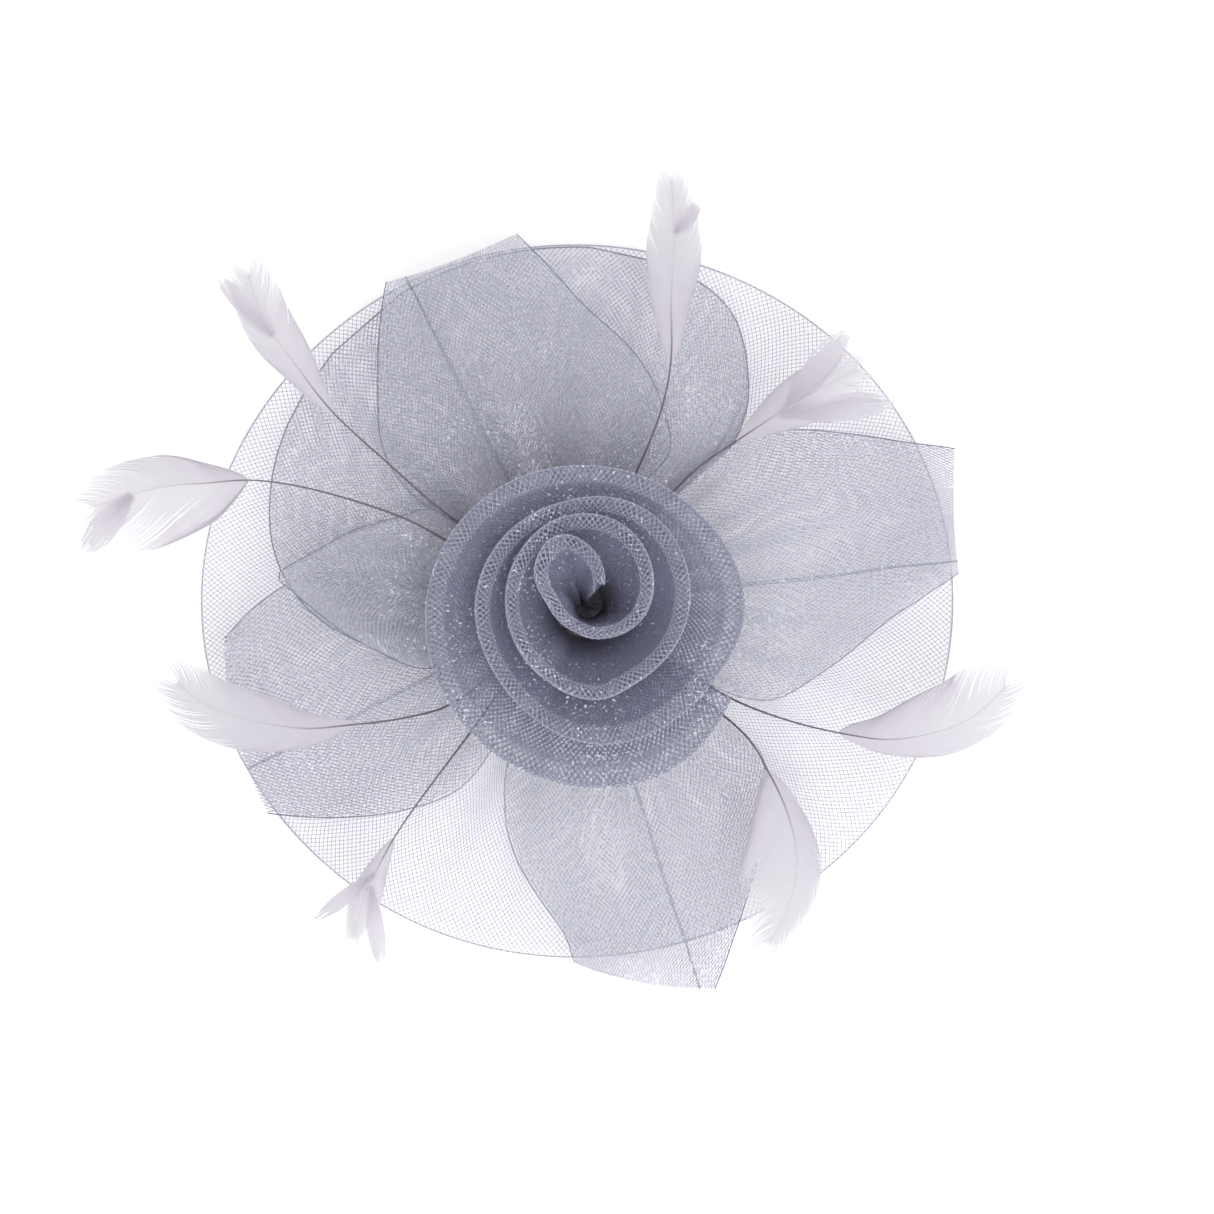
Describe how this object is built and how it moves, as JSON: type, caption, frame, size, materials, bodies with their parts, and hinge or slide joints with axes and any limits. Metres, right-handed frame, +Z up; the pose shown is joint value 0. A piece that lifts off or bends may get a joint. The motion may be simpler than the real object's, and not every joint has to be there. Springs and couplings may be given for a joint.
{
  "type": "fascinator",
  "caption": "Round crinoline net fascinator on a hair clip, with flattened net petals round a rolled net rose and stripped feathers standing out between them.",
  "frame": {"origin": "middle of the flat underside of the hair clip, on which the fascinator rests", "axes": "+Z up out of the rose; +X to the picture's right, along the clip towards its tip; +Y to the picture's top"},
  "size_m": [0.3167, 0.277, 0.0556],
  "materials": {
    "brim_net": "one layer of glossy silver-lilac nylon monofilament net, open weave",
    "petal_net": "doubled glossy silver-lilac nylon monofilament net",
    "rose_net": "rolled and folded silver-lilac nylon monofilament net, dense and glossy",
    "feather": "pale lilac-grey stripped feathers with dark quills, soft and matt",
    "clip_steel": "plain bright steel"
  },
  "bodies": {
    "root": {"brim": "brim_net", "lower_left_petal": "petal_net", "lower_petal": "petal_net", "upper_loop": "petal_net", "upper_leaf": "petal_net", "right_petal": "petal_net", "left_fold": "petal_net", "rose": "rose_net", "feather_1": "feather", "feather_2": "feather", "feather_3": "feather", "feather_4": "feather", "feather_5": "feather", "feather_6": "feather", "feather_7": "feather", "feather_8": "feather", "hair_clip": "clip_steel"}
  },
  "joints": []
}
